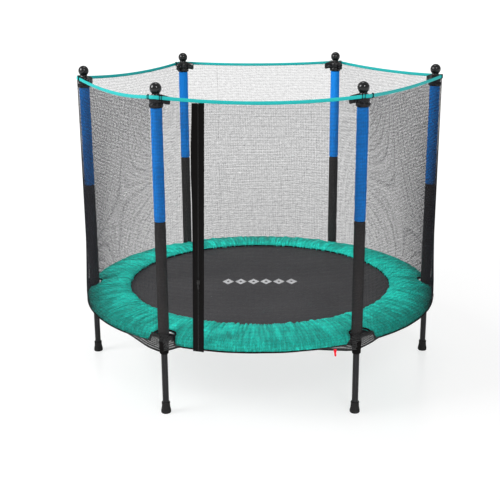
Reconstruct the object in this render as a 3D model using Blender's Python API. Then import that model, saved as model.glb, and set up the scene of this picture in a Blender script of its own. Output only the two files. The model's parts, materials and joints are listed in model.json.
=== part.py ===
"""A small round trampoline with six net posts, in metres, +Z up.

The origin is on the floor under the middle of the mat. +X runs through two opposite posts, and
the zipped doorway is in the net's front side, towards -Y.
"""

import math

import bmesh
import bpy
from mathutils import Matrix, Vector

# ---- driving dimensions ----------------------------------------------------------------------
GAP = 0.0003  # between pieces that touch
SIDES = 12  # facets round a tube

POST_RING = 0.679  # posts' distance from the centre
TOTAL_HEIGHT = 1.180

TUBE_R = 0.0115  # leg and pole tube, outside
TUBE_WALL = 0.0012
SPIGOT_LENGTH = 0.050
TUBE_JOINT_Z = 0.700  # where the pole stands on the leg

FOOT_HEIGHT = 0.042
FOOT_SOLE_R = 0.0160
FOOT_FLANGE_R = 0.0182
FOOT_FLANGE_LOW = 0.0040
FOOT_FLANGE_TOP = 0.0120
FOOT_NECK_R = 0.0145
FOOT_NECK_Z = 0.0160
FOOT_FLOOR = 0.006  # rubber under the tube's end

SLEEVE_R = 0.020
SLEEVE_BOTTOM_Z = 0.297
SLEEVE_SPLIT_Z = 0.710
SLEEVE_TOP_Z = 1.0977

CAP_BALL_R = 0.020
CAP_COLLAR_R = 0.0245
CAP_COLLAR_Z = 1.098
CAP_COLLAR_HEIGHT = 0.0125
CAP_BODY_R = 0.0215
CAP_BODY_Z = 1.1310
CAP_NECK_R = 0.0125
CAP_NECK_Z = 1.1410
CAP_PLUG_DEPTH = 0.030
CAP_ARM_WIDTH = 0.010
CAP_ARM_OUTLINE = (  # distance from the post's axis, height
    (0.0, 1.1130),
    (0.0420, 1.1065),
    (0.0460, 1.1085),
    (0.0470, 1.1290),
    (0.0440, 1.1325),
    (0.0140, 1.1405),
    (0.0, 1.1405),
)

RING_R = 0.6545  # centre line of the frame ring
RING_Z = 0.283
RING_TUBE_R = 0.0127
RING_WALL = 0.0014
RING_OVERLAP = math.radians(2.0)  # half of the swaged overlap at each post
RING_STEPS = 7  # straight facets along one arc

BOLT_R = 0.0030
BOLT_HOLE_R = 0.0036
BOLT_HEAD_R = 0.0065
BOLT_HEAD_HEIGHT = 0.0042
NUT_HEIGHT = 0.005

MAT_R = 0.535
MAT_TOP_Z = 0.300
MAT_THICKNESS = 0.003
WEBBING_INNER_R = 0.510
WEBBING_THICKNESS = 0.002

SPRING_COUNT = 30
SPRING_FIRST = math.radians(90.0)
HOOP_R = 0.540  # hoop through the springs' inner hooks
HOOP_WIRE = 0.003
SPRING_START = (0.5520, 0.2935)  # coil's inner end: radius, height
SPRING_END = (0.6385, 0.2900)
SPRING_WIDTH = 0.012

PAD_SEGMENTS = 60
PAD_HEM_Z = 0.277
PAD_OUTER_R = 0.698
PAD_PROFILE = (  # radius, height: the underside outwards, then back over the top
    (0.5290, 0.3015),
    (0.5600, 0.3010),
    (0.6420, 0.2980),
    (0.6820, 0.2965),
    (0.6925, 0.2900),
    (0.6940, PAD_HEM_Z),
    (PAD_OUTER_R, PAD_HEM_Z),
    (PAD_OUTER_R, 0.2970),
    (0.6900, 0.3060),
    (0.6400, 0.3140),
    (0.5750, 0.3200),
    (0.5370, 0.3185),
    (0.5290, 0.3110),
)
NOTCH_WIDTH = 0.086
NOTCH_INNER = 0.634

WALL_OFFSET = 0.025  # net's inner face from a post's axis
WALL_THICKNESS = 0.002
WALL_BOTTOM_R = 0.7015
WALL_BOTTOM_Z = 0.270
WALL_KNEE_Z = 0.303  # upright skirt round the pad below this, leaning in above it
WALL_TOP_Z = 1.1275
WALL_TOP_BOW = 0.006  # how far the taut top edge pulls in at mid span
SPAN_STEPS = 8
BAND_WIDTH = 0.012

ZIP_X = -0.206
ZIP_LEAN = 0.019  # how far the front panel's middle leans to +X from hem to top
ZIP_WIDTH = 0.037
ZIP_SLOT = 0.002  # between the two tapes
TAPE_THICKNESS = 0.001
SLIDER_Z = 0.515
SLIDER_WIDTH = 0.010
SLIDER_HEIGHT = 0.014
SLIDER_PLATE = 0.0012
SLIDER_GAP = 0.0015  # tape's middle to a plate's inner face
PULL_LENGTH = 0.024
PULL_PIN_OUT = 0.0046
PIN_R = 0.0007
PULL_EYE = (0.0011, 0.0017)  # inner and outer radius

LABEL_X = 0.259
LABEL_WIDTH = 0.011
LABEL_LENGTH = 0.026
LABEL_THICKNESS = 0.0008

POSTS = ("right", "back_right", "back_left", "left", "front_left", "front_right")
ARCS = ("right_back", "back", "left_back", "left_front", "front", "right_front")
SPAN_SAG = (0.008, 0.009, 0.016, 0.020, 0.021, 0.010)  # band's drop at mid span, arc by arc
FRONT_SPAN = 4

SLEEVE_BLUE = (0.020, 0.190, 0.760)
SLEEVE_GREY = (0.040, 0.036, 0.034)
BLACK_PAINT = (0.012, 0.012, 0.013)
BLACK_PLASTIC = (0.010, 0.010, 0.011)
BLACK_RUBBER = (0.014, 0.014, 0.014)
PAD_TEAL = (0.010, 0.380, 0.260)
BAND_TURQUOISE = (0.045, 0.740, 0.700)
MAT_GREY = (0.060, 0.060, 0.062)
NET_BLACK = (0.030, 0.030, 0.032)
ZINC = (0.560, 0.560, 0.550)
LABEL_RED = (0.640, 0.020, 0.030)


# ---- building blocks -------------------------------------------------------------------------
def material(name, colour, roughness, metallic=0.0):
    made = bpy.data.materials.new(name)
    made.use_nodes = True
    shader = made.node_tree.nodes["Principled BSDF"]
    shader.inputs["Base Color"].default_value = (*colour, 1.0)
    shader.inputs["Roughness"].default_value = roughness
    shader.inputs["Metallic"].default_value = metallic
    return made


def add_object(name, mesh, look=None):
    made = bpy.data.objects.new(name, mesh)
    bpy.context.scene.collection.objects.link(made)
    if look is not None and not mesh.materials:
        mesh.materials.append(look)
    return made


def mesh_from(name, points, faces, smooth_angle=None):
    made = bpy.data.meshes.new(name)
    made.from_pydata([tuple(p) for p in points], [], faces)
    builder = bmesh.new()
    builder.from_mesh(made)
    bmesh.ops.recalc_face_normals(builder, faces=builder.faces)
    builder.to_mesh(made)
    builder.free()
    if smooth_angle is not None:
        made.shade_smooth()
        made.set_sharp_from_angle(angle=math.radians(smooth_angle))
    return made


def revolved(name, profile, sides=SIDES, closed=False, axis_x=False):
    """A mesh turned about Z, or about X, from (radius, height) points.

    An open profile starts and ends on the axis. A closed one makes a ring-shaped solid.
    """
    points = []
    rings = []
    for radius, height in profile:
        if radius < 1e-9:
            rings.append([len(points)] * sides)
            points.append(Vector((0.0, 0.0, height)))
            continue
        first = len(points)
        for k in range(sides):
            turn = 2.0 * math.pi * k / sides
            points.append(Vector((radius * math.cos(turn), radius * math.sin(turn), height)))
        rings.append([first + k for k in range(sides)])
    pairs = list(zip(rings, rings[1:] + rings[:1])) if closed else list(zip(rings, rings[1:]))
    faces = []
    for low, high in pairs:
        for k in range(sides):
            n = (k + 1) % sides
            corners = [low[k], low[n], high[n], high[k]]
            face = [c for i, c in enumerate(corners) if c not in corners[:i]]
            if len(face) > 2:
                faces.append(face)
    if axis_x:
        points = [Vector((p.z, p.y, -p.x)) for p in points]
    return mesh_from(name, points, faces, smooth_angle=35.0)


def tube_mesh(name, outer, inner, low, high):
    return revolved(name, [(outer, low), (outer, high), (inner, high), (inner, low)], closed=True)


def box_mesh(name, low, high):
    points = [
        Vector((x, y, z)) for x in (low[0], high[0]) for y in (low[1], high[1]) for z in (low[2], high[2])
    ]
    faces = [(0, 1, 3, 2), (4, 6, 7, 5), (0, 4, 5, 1), (2, 3, 7, 6), (0, 2, 6, 4), (1, 5, 7, 3)]
    return mesh_from(name, points, faces)


def prism_mesh(name, outline, low, high):
    """An outline of (y, z) points, extruded along X from low to high."""
    count = len(outline)
    points = [Vector((x, y, z)) for x in (low, high) for y, z in outline]
    faces = [tuple(range(count)), tuple(range(count, 2 * count))]
    for k in range(count):
        n = (k + 1) % count
        faces.append((k, n, count + n, count + k))
    return mesh_from(name, points, faces)


def combined(name, base, tool, operation):
    """The mesh of base with tool added or cut away by an exact Boolean."""
    base_object = add_object("boolean_base", base)
    tool_object = add_object("boolean_tool", tool)
    change = base_object.modifiers.new("boolean", "BOOLEAN")
    change.operation = operation
    change.object = tool_object
    graph = bpy.context.evaluated_depsgraph_get()
    made = bpy.data.meshes.new_from_object(base_object.evaluated_get(graph))
    made.name = name
    bpy.data.objects.remove(base_object)
    bpy.data.objects.remove(tool_object)
    return made


def post_angle(index):
    return math.radians(60.0 * index)


def at_posts(stem, mesh, look):
    """Six copies of a mesh made for a post that stands on the local origin, +X outwards."""
    for index, place in enumerate(POSTS):
        made = add_object(f"{stem}_{place}", mesh, look)
        turn = post_angle(index)
        made.location = (POST_RING * math.cos(turn), POST_RING * math.sin(turn), 0.0)
        made.rotation_euler = (0.0, 0.0, turn)


# ---- feet, legs, poles, sleeves and caps -----------------------------------------------------
def make_feet(look):
    bore = TUBE_R + GAP
    profile = [
        (0.0, 0.0),
        (FOOT_SOLE_R, 0.0),
        (FOOT_FLANGE_R, FOOT_FLANGE_LOW),
        (FOOT_FLANGE_R, FOOT_FLANGE_TOP),
        (FOOT_NECK_R, FOOT_NECK_Z),
        (FOOT_NECK_R, FOOT_HEIGHT),
        (bore, FOOT_HEIGHT),
        (bore, FOOT_FLOOR),
        (0.0, FOOT_FLOOR),
    ]
    at_posts("foot", revolved("foot", profile), look)


def make_legs(look):
    body = tube_mesh("leg_tube", TUBE_R, TUBE_R - TUBE_WALL, FOOT_FLOOR + GAP, TUBE_JOINT_Z)
    reach = 2.0 * TUBE_R
    profile = [(0, -reach), (BOLT_HOLE_R, -reach), (BOLT_HOLE_R, reach), (0, reach)]
    drill = revolved("drill", profile, sides=8, axis_x=True)
    drill.transform(Matrix.Translation((0.0, 0.0, RING_Z)))
    at_posts("leg", combined("leg", body, drill, "DIFFERENCE"), look)


def make_poles(look):
    spigot_outer = TUBE_R - TUBE_WALL - GAP
    spigot_inner = spigot_outer - TUBE_WALL
    shoulder = TUBE_JOINT_Z + GAP
    foot = TUBE_JOINT_Z - SPIGOT_LENGTH
    profile = [
        (spigot_outer, foot),
        (spigot_outer, shoulder),
        (TUBE_R, shoulder),
        (TUBE_R, CAP_COLLAR_Z - GAP),
        (TUBE_R - TUBE_WALL, CAP_COLLAR_Z - GAP),
        (TUBE_R - TUBE_WALL, shoulder + TUBE_WALL),
        (spigot_inner, shoulder + TUBE_WALL),
        (spigot_inner, foot),
    ]
    at_posts("pole", revolved("pole", profile, closed=True), look)


def make_sleeves(grey, blue):
    bore = TUBE_R + GAP
    lower = tube_mesh("sleeve_lower", SLEEVE_R, bore, SLEEVE_BOTTOM_Z, SLEEVE_SPLIT_Z - GAP / 2)
    upper = tube_mesh("sleeve_upper", SLEEVE_R, bore, SLEEVE_SPLIT_Z + GAP / 2, SLEEVE_TOP_Z)
    at_posts("sleeve_lower", lower, grey)
    at_posts("sleeve_upper", upper, blue)


def make_caps(look):
    """A ball on a neck, with an arm along each of the two net sides that meet at the post."""
    ball_z = TOTAL_HEIGHT - CAP_BALL_R
    collar_top = CAP_COLLAR_Z + CAP_COLLAR_HEIGHT
    plug_r = TUBE_R - TUBE_WALL - GAP
    ball_end = -math.acos(CAP_NECK_R / CAP_BALL_R)
    ball_steps = 5
    ball = []
    for k in range(ball_steps + 1):
        rise = math.pi / 2 + (ball_end - math.pi / 2) * k / ball_steps
        ball.append((CAP_BALL_R * math.cos(rise), ball_z + CAP_BALL_R * math.sin(rise)))
    ball[0] = (0.0, TOTAL_HEIGHT)
    profile = ball + [
        (CAP_NECK_R, CAP_NECK_Z),
        (CAP_BODY_R, CAP_BODY_Z),
        (CAP_BODY_R - 0.001, collar_top),
        (CAP_COLLAR_R, collar_top),
        (CAP_COLLAR_R, CAP_COLLAR_Z),
        (plug_r, CAP_COLLAR_Z),
        (plug_r, CAP_COLLAR_Z - CAP_PLUG_DEPTH),
        (0.0, CAP_COLLAR_Z - CAP_PLUG_DEPTH),
    ]
    cap = revolved("cap_body", profile)
    for turn in (30.0, 150.0):
        arm = prism_mesh("cap_arm", CAP_ARM_OUTLINE, -CAP_ARM_WIDTH / 2, CAP_ARM_WIDTH / 2)
        arm.transform(Matrix.Rotation(math.radians(turn), 4, "Z"))
        cap = combined("cap", cap, arm, "UNION")
    at_posts("cap", cap, look)


# ---- frame ring ------------------------------------------------------------------------------
def ring_points(turn, radius):
    """One twelve-sided section of the frame ring's tube at an angle round the ring."""
    section = []
    for k in range(SIDES):
        around = 2.0 * math.pi * k / SIDES
        reach = RING_R + radius * math.cos(around)
        height = RING_Z + radius * math.sin(around)
        section.append(Vector((reach * math.cos(turn), reach * math.sin(turn), height)))
    return section


def arc_mesh(name):
    """One sixth of the ring: a tube with a swaged spigot that enters the next arc at a post."""
    sixth = math.radians(60.0)
    inner = RING_TUBE_R - RING_WALL
    spigot_outer = inner - GAP
    spigot_inner = spigot_outer - RING_WALL
    shoulder = sixth - RING_OVERLAP - GAP / RING_R
    plain = [-RING_OVERLAP, RING_OVERLAP]
    for k in range(1, RING_STEPS):
        plain.append(RING_OVERLAP + (shoulder - RING_OVERLAP) * k / RING_STEPS)
    plain.append(shoulder)
    tip = sixth + RING_OVERLAP
    neck = shoulder - RING_WALL / RING_R
    sections = [(turn, RING_TUBE_R) for turn in plain]
    sections += [(shoulder, spigot_outer), (tip, spigot_outer), (tip, spigot_inner), (neck, spigot_inner)]
    sections += [(neck, inner)] + [(turn, inner) for turn in reversed(plain[:-1])]
    points = []
    for turn, radius in sections:
        points += ring_points(turn, radius)
    faces = []
    for s in range(len(sections)):
        low = s * SIDES
        high = (s + 1) % len(sections) * SIDES
        for k in range(SIDES):
            n = (k + 1) % SIDES
            faces.append((low + k, low + n, high + n, high + k))
    return mesh_from(name, points, faces, smooth_angle=35.0)


def make_ring(look):
    arc = arc_mesh("frame_arc")
    low = RING_R - 2.0 * RING_TUBE_R
    high = RING_R + 2.0 * RING_TUBE_R
    for turn in (0.0, math.radians(60.0)):
        profile = [(0, low), (BOLT_HOLE_R, low), (BOLT_HOLE_R, high), (0, high)]
        drill = revolved("drill", profile, sides=8, axis_x=True)
        drill.transform(Matrix.Rotation(turn, 4, "Z") @ Matrix.Translation((0.0, 0.0, RING_Z)))
        arc = combined("frame_arc", arc, drill, "DIFFERENCE")
    for index, place in enumerate(ARCS):
        made = add_object(f"frame_arc_{place}", arc, look)
        made.rotation_euler = (0.0, 0.0, post_angle(index))


def make_bolts(look):
    """A bolt through leg and ring, with its nut, along local X."""
    head = TUBE_R + GAP
    nut = RING_R * math.cos(RING_OVERLAP) - RING_TUBE_R - POST_RING - GAP
    profile = [
        (0.0, head + BOLT_HEAD_HEIGHT),
        (0.7 * BOLT_HEAD_R, head + BOLT_HEAD_HEIGHT),
        (BOLT_HEAD_R, head + 0.4 * BOLT_HEAD_HEIGHT),
        (BOLT_HEAD_R, head),
        (BOLT_R, head),
        (BOLT_R, nut),
        (BOLT_HEAD_R, nut),
        (BOLT_HEAD_R, nut - NUT_HEIGHT),
        (BOLT_R, nut - NUT_HEIGHT),
        (BOLT_R, nut - NUT_HEIGHT - 0.0025),
        (0.0, nut - NUT_HEIGHT - 0.0025),
    ]
    bolt = revolved("leg_bolt", profile, sides=8, axis_x=True)
    bolt.transform(Matrix.Translation((0.0, 0.0, RING_Z)))
    at_posts("leg_bolt", bolt, look)


# ---- mat, springs and pad --------------------------------------------------------------------
def make_mat(look, webbing_look):
    low = MAT_TOP_Z - MAT_THICKNESS
    disc = revolved("mat", [(0, low), (MAT_R, low), (MAT_R, MAT_TOP_Z), (0, MAT_TOP_Z)], sides=60)
    add_object("mat", disc, look)
    top = low - GAP
    bottom = top - WEBBING_THICKNESS
    profile = [(WEBBING_INNER_R, bottom), (MAT_R, bottom), (MAT_R, top), (WEBBING_INNER_R, top)]
    add_object("mat_webbing", revolved("mat_webbing", profile, sides=60, closed=True), webbing_look)


def make_springs(look):
    """A thin hoop through the inner hooks, with a bar grown from it for each spring."""
    half = HOOP_WIRE / 2
    hoop_z = SPRING_START[1]
    spread = math.asin(half / HOOP_R)
    builder = bmesh.new()
    rings = []
    for spring in range(SPRING_COUNT):
        middle = SPRING_FIRST + 2.0 * math.pi * spring / SPRING_COUNT
        for turn in (middle - spread, middle + spread):
            ring = []
            for reach, height in ((-half, -half), (half, -half), (half, half), (-half, half)):
                radius = HOOP_R + reach
                place = (radius * math.cos(turn), radius * math.sin(turn), hoop_z + height)
                ring.append(builder.verts.new(place))
            rings.append(ring)
    grown = []
    for index, ring in enumerate(rings):
        following = rings[(index + 1) % len(rings)]
        for k in range(4):
            n = (k + 1) % 4
            face = builder.faces.new((ring[k], ring[n], following[n], following[k]))
            if index % 2 == 0 and k == 1:
                grown.append(face)
    bmesh.ops.recalc_face_normals(builder, faces=builder.faces)
    stops = [
        (SPRING_START[0] - 0.003, SPRING_START[1], HOOP_WIRE),
        (SPRING_START[0], SPRING_START[1], SPRING_WIDTH),
        (SPRING_END[0] - 0.003, SPRING_END[1], SPRING_WIDTH),
        (SPRING_END[0], SPRING_END[1], HOOP_WIRE),
    ]
    for spring, face in enumerate(grown):
        middle = SPRING_FIRST + 2.0 * math.pi * spring / SPRING_COUNT
        outwards = Vector((math.cos(middle), math.sin(middle), 0.0))
        across = Vector((-math.sin(middle), math.cos(middle), 0.0))
        for radius, height, width in stops:
            centre = face.calc_center_median()
            face = bmesh.ops.extrude_discrete_faces(builder, faces=[face])["faces"][0]
            for corner in face.verts:
                away = corner.co - centre
                side = math.copysign(width / 2, away.dot(across))
                rise = math.copysign(width / 2, away.z)
                corner.co = outwards * radius + across * side + Vector((0.0, 0.0, height + rise))
    mesh = bpy.data.meshes.new("springs")
    builder.to_mesh(mesh)
    builder.free()
    add_object("springs", mesh, look)


def make_pad(look):
    """The padded ring over springs and frame, open at the posts."""
    pad = add_object("pad", revolved("pad", PAD_PROFILE, sides=PAD_SEGMENTS, closed=True), look)
    for index, place in enumerate(POSTS):
        low = (NOTCH_INNER, -NOTCH_WIDTH / 2, PAD_HEM_Z - 0.02)
        high = (PAD_OUTER_R + 0.02, NOTCH_WIDTH / 2, MAT_TOP_Z + 0.04)
        cutter = add_object(f"notch_cutter_{place}", box_mesh("notch_cutter", low, high))
        cutter.rotation_euler = (0.0, 0.0, post_angle(index))
        cutter.hide_render = True
        cutter.display_type = "WIRE"
        cut = pad.modifiers.new(f"notch_{place}", "BOOLEAN")
        cut.operation = "DIFFERENCE"
        cut.object = cutter


# ---- net, band and zip -----------------------------------------------------------------------
def wall_reach(across, height):
    """Distance of the wall's inner face from the centre plane of its span, along its normal."""
    apothem = POST_RING * math.cos(math.radians(30.0)) + WALL_OFFSET
    half_span = POST_RING / 2
    top = apothem - WALL_TOP_BOW * (1.0 - (across / half_span) ** 2)
    bottom = math.sqrt(WALL_BOTTOM_R**2 - across**2)
    share = max(0.0, (height - WALL_KNEE_Z) / (WALL_TOP_Z - WALL_KNEE_Z))
    return bottom + (top - bottom) * share


def wall_top(span, across):
    half_span = POST_RING / 2
    return WALL_TOP_Z - SPAN_SAG[span] * (1.0 - (across / half_span) ** 2)


def wall_point(span, across, height, depth):
    """A point of the wall: across its span, at a height, and depth outwards of the inner face."""
    facing = post_angle(span) + math.radians(30.0)
    outwards = Vector((math.cos(facing), math.sin(facing), 0.0))
    sideways = Vector((-math.sin(facing), math.cos(facing), 0.0))
    reach = wall_reach(across, height) + depth
    if span == FRONT_SPAN:
        share = (height - WALL_KNEE_Z) / (WALL_TOP_Z - WALL_KNEE_Z)
        across += ZIP_LEAN * (share - 0.5) * (1.0 - (2.0 * across / POST_RING) ** 2)
    return outwards * reach + sideways * across + Vector((0, 0, height))


def corner_point(post, height, depth):
    reach = POST_RING + WALL_OFFSET + depth
    turn = post_angle(post)
    return Vector((reach * math.cos(turn), reach * math.sin(turn), height))


def span_stations(span, low, high):
    """Stations across part of one span, each the span and the distance from its middle."""
    stations = []
    for k in range(SPAN_STEPS + 1):
        across = low + (high - low) * k / SPAN_STEPS
        stations.append((span, across))
    return stations


def wall_strip(name, stations, rows, depths, loop):
    """A thin wall along the stations, between two depths.

    rows gives a station's heights, rising. A station at a post has no distance across. Both sides
    are flat triangles with the same diagonals, so the wall stays equally thick where it twists.
    """
    points = []
    sections = []
    for station in stations:
        section = []
        heights = rows(station)
        around = [(h, depths[0]) for h in heights] + [(h, depths[1]) for h in reversed(heights)]
        for height, depth in around:
            section.append(len(points))
            if station[1] is None:
                points.append(corner_point(station[0], height, depth))
            else:
                points.append(wall_point(station[0], station[1], height, depth))
        sections.append(section)
    pairs = list(zip(sections, sections[1:]))
    if loop:
        pairs.append((sections[-1], sections[0]))
    faces = []
    for here, there in pairs:
        for k in range(len(here)):
            n = (k + 1) % len(here)
            if k < len(here) // 2:
                faces.append((here[k], here[n], there[n]))
                faces.append((here[k], there[n], there[k]))
            else:
                faces.append((here[k], here[n], there[k]))
                faces.append((here[n], there[n], there[k]))
    if not loop:
        faces.append(tuple(sections[0]))
        faces.append(tuple(sections[-1]))
    return mesh_from(name, points, faces)


def net_rows(station):
    high = WALL_TOP_Z if station[1] is None else wall_top(*station)
    return [WALL_BOTTOM_Z, WALL_KNEE_Z, high]


def band_rows(station):
    low = net_rows(station)[-1] + GAP
    return [low, low + BAND_WIDTH]


def make_net(net_look, band_look, tape_look):
    half_span = POST_RING / 2
    half_zip = ZIP_WIDTH / 2
    edge = 0.0005
    around = span_stations(FRONT_SPAN, ZIP_X + half_zip + edge, half_span)
    for step in range(1, 6):
        span = (FRONT_SPAN + step) % 6
        around.append((span, None))
        around += span_stations(span, -half_span, half_span)
    around.append((FRONT_SPAN, None))
    around += span_stations(FRONT_SPAN, -half_span, ZIP_X - half_zip - edge)
    net = wall_strip("net", around, net_rows, (0.0, WALL_THICKNESS), loop=False)
    add_object("net", net, net_look)

    whole = []
    for span in range(6):
        whole.append((span, None))
        whole += span_stations(span, -half_span, half_span)
    band = wall_strip("top_band", whole, band_rows, (0.0, WALL_THICKNESS), loop=True)
    add_object("top_band", band, band_look)

    depths = ((WALL_THICKNESS - TAPE_THICKNESS) / 2, (WALL_THICKNESS + TAPE_THICKNESS) / 2)
    for side, low, high in (
        ("left", ZIP_X - half_zip, ZIP_X - ZIP_SLOT / 2),
        ("right", ZIP_X + ZIP_SLOT / 2, ZIP_X + half_zip),
    ):
        ends = [(FRONT_SPAN, low), (FRONT_SPAN, (low + high) / 2), (FRONT_SPAN, high)]
        tape = wall_strip(f"zip_tape_{side}", ends, net_rows, depths, loop=False)
        add_object(f"zip_tape_{side}", tape, tape_look)


def zip_frame(height):
    """A frame on the zip's line at a height: X across the tapes, -Y outwards, Z up the zip."""
    low = wall_point(FRONT_SPAN, ZIP_X, WALL_KNEE_Z, WALL_THICKNESS / 2)
    high = wall_point(FRONT_SPAN, ZIP_X, WALL_TOP_Z, WALL_THICKNESS / 2)
    upwards = (high - low).normalized()
    middle = (WALL_KNEE_Z + WALL_TOP_Z) / 2
    step = 0.001
    beside = wall_point(FRONT_SPAN, ZIP_X + step, middle, 0.0) - wall_point(FRONT_SPAN, ZIP_X, middle, 0.0)
    inwards = upwards.cross(beside).normalized()
    across = inwards.cross(upwards).normalized()
    centre = low + (high - low) * (height - low.z) / (high.z - low.z)
    turned = Matrix((across, inwards, upwards)).transposed().to_4x4()
    return Matrix.Translation(centre) @ turned


def make_zip_slider(look):
    half = SLIDER_WIDTH / 2
    rise = SLIDER_HEIGHT / 2
    near = SLIDER_GAP
    far = SLIDER_GAP + SLIDER_PLATE
    ear_low = 0.0022
    ear_high = 0.0032
    ear_out = PULL_PIN_OUT + 0.0014
    pin = (ear_low + ear_high) / 2
    overlap = 0.0002
    web = 0.0005
    body = box_mesh("slider_front", (-half, -far, -rise), (half, -near, rise))
    pieces = [
        box_mesh("slider_web", (-web, -near - overlap, -0.001), (web, near + overlap, rise - 0.001)),
        box_mesh("slider_back", (-half, near, -rise), (half, far, rise)),
        box_mesh("slider_ear", (-ear_high, -ear_out, -0.002), (-ear_low, -far + overlap, 0.002)),
        box_mesh("slider_ear", (ear_low, -ear_out, -0.002), (ear_high, -far + overlap, 0.002)),
        revolved("slider_pin", [(0, -pin), (PIN_R, -pin), (PIN_R, pin), (0, pin)], sides=8, axis_x=True),
    ]
    pieces[-1].transform(Matrix.Translation((0.0, -PULL_PIN_OUT, 0.0)))
    for piece in pieces:
        body = combined("zip_slider", body, piece, "UNION")
    slider = add_object("zip_slider", body, look)
    slider.matrix_world = zip_frame(SLIDER_Z)


def make_zip_pull(look):
    """An eye round the slider's pin with a tab that hangs straight down from it."""
    half = 0.0018
    inner, outer = PULL_EYE
    profile = [(outer, -half), (outer, half), (inner, half), (inner, -half)]
    eye = revolved("pull_eye", profile, sides=8, closed=True, axis_x=True)
    tab = box_mesh("pull_tab", (-half, -0.0006, -PULL_LENGTH), (half, 0.0006, -0.0013))
    pull = add_object("zip_pull", combined("zip_pull", eye, tab, "UNION"), look)
    frame = zip_frame(SLIDER_Z)
    across = Vector((frame[0][0], frame[1][0], 0.0)).normalized()
    upright = Matrix((across, Vector((0, 0, 1)).cross(across), Vector((0, 0, 1)))).transposed().to_4x4()
    pin = frame @ Vector((0.0, -PULL_PIN_OUT, 0.0))
    pull.matrix_world = Matrix.Translation(pin) @ upright


def make_label(look):
    """A care label that hangs from the net's hem."""
    radius = WALL_BOTTOM_R + WALL_THICKNESS / 2
    turn = -math.acos(LABEL_X / radius)
    top = WALL_BOTTOM_Z - GAP
    low = (-LABEL_THICKNESS / 2, -LABEL_WIDTH / 2, top - LABEL_LENGTH)
    high = (LABEL_THICKNESS / 2, LABEL_WIDTH / 2, top)
    label = add_object("care_label", box_mesh("care_label", low, high), look)
    label.location = (radius * math.cos(turn), radius * math.sin(turn), 0.0)
    label.rotation_euler = (0.0, 0.0, turn)


def main():
    for old in list(bpy.data.objects):
        bpy.data.objects.remove(old)
    black_paint = material("black_paint", BLACK_PAINT, 0.35, 0.2)
    black_fabric = material("black_fabric", NET_BLACK, 0.85)
    zinc = material("zinc", ZINC, 0.30, 1.0)
    make_feet(material("black_rubber", BLACK_RUBBER, 0.75))
    make_legs(black_paint)
    make_poles(black_paint)
    make_sleeves(material("grey_sleeve", SLEEVE_GREY, 0.70), material("blue_sleeve", SLEEVE_BLUE, 0.65))
    make_caps(material("black_plastic", BLACK_PLASTIC, 0.15))
    make_ring(black_paint)
    make_bolts(zinc)
    make_mat(material("mat_weave", MAT_GREY, 0.70), black_fabric)
    make_springs(zinc)
    make_pad(material("pad_cover", PAD_TEAL, 0.45))
    make_net(black_fabric, material("band_tape", BAND_TURQUOISE, 0.60), black_fabric)
    make_zip_slider(zinc)
    make_zip_pull(zinc)
    make_label(material("label_red", LABEL_RED, 0.60))


main()
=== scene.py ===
"""The trampoline's looks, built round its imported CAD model, in metres, +Z up."""

import json
from math import asin, atan2, cos, dist, exp, pi, radians, sin, sqrt, tan

import bmesh
import bpy
import numpy as np
from mathutils import Matrix, Vector, noise


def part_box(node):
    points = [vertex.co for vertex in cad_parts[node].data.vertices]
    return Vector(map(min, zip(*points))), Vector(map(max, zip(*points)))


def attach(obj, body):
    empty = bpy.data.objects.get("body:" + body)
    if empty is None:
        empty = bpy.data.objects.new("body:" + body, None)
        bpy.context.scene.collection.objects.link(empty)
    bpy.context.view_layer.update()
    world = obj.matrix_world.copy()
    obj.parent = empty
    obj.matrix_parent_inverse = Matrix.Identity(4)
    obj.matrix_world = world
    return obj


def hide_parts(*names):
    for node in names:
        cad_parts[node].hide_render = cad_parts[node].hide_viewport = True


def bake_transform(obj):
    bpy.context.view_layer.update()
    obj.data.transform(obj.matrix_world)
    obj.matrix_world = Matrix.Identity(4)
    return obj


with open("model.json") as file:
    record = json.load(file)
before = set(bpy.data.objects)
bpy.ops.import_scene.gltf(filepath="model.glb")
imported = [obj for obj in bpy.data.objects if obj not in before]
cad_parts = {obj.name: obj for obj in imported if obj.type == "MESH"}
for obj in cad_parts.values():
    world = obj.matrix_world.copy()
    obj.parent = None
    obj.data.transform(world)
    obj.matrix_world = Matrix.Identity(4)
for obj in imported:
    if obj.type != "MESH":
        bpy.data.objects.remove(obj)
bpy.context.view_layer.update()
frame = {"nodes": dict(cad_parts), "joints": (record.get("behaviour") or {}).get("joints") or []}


# ---- sizes, from the CAD boxes where a node gives them
def lowest(node):
    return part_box(node)[0]


def highest(node):
    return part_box(node)[1]


def middle(node):
    return (lowest(node) + highest(node)) / 2


def half_size(node):
    return (highest(node) - lowest(node)) / 2


POSTS = ("right", "back_right", "back_left", "left", "front_left", "front_right")
ARCS = ("right_back", "back", "left_back", "left_front", "front", "right_front")
FRAME, MAT_BODY = "trampoline_frame", "jumping_mat"
FRONT_SPAN = 4
GAP = 0.0003  # between pieces that touch

POST_RING = middle("foot_right").x
HALF_SPAN = POST_RING / 2
TUBE_R = half_size("leg_right").y
LEG_LOW, LEG_TOP = lowest("leg_right").z, highest("leg_right").z
FOOT_TOP = highest("foot_right").z
SLEEVE_R = half_size("sleeve_lower_right").y
SLEEVE_LOW, SLEEVE_SPLIT = lowest("sleeve_lower_right").z, highest("sleeve_lower_right").z
SLEEVE_TOP = highest("sleeve_upper_right").z
CUFF_LOW = 0.229  # lower end of the hem's wrap round a leg
CAP_TOP = highest("cap_right").z
RING_Z = middle("frame_arc_back").z
RING_TUBE_R = half_size("frame_arc_back").z
RING_R = highest("frame_arc_back").y - RING_TUBE_R
MAT_LOW, MAT_TOP = lowest("mat").z, highest("mat").z
MAT_R = highest("mat").x
PAD_HEM = lowest("pad").z
PAD_R = 0.698
NET_LOW = lowest("net").z
WALL_OFFSET = 0.025  # net's inner face from a post's axis
WALL_MIDDLE = 0.001  # half the CAD net's thickness
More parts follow.
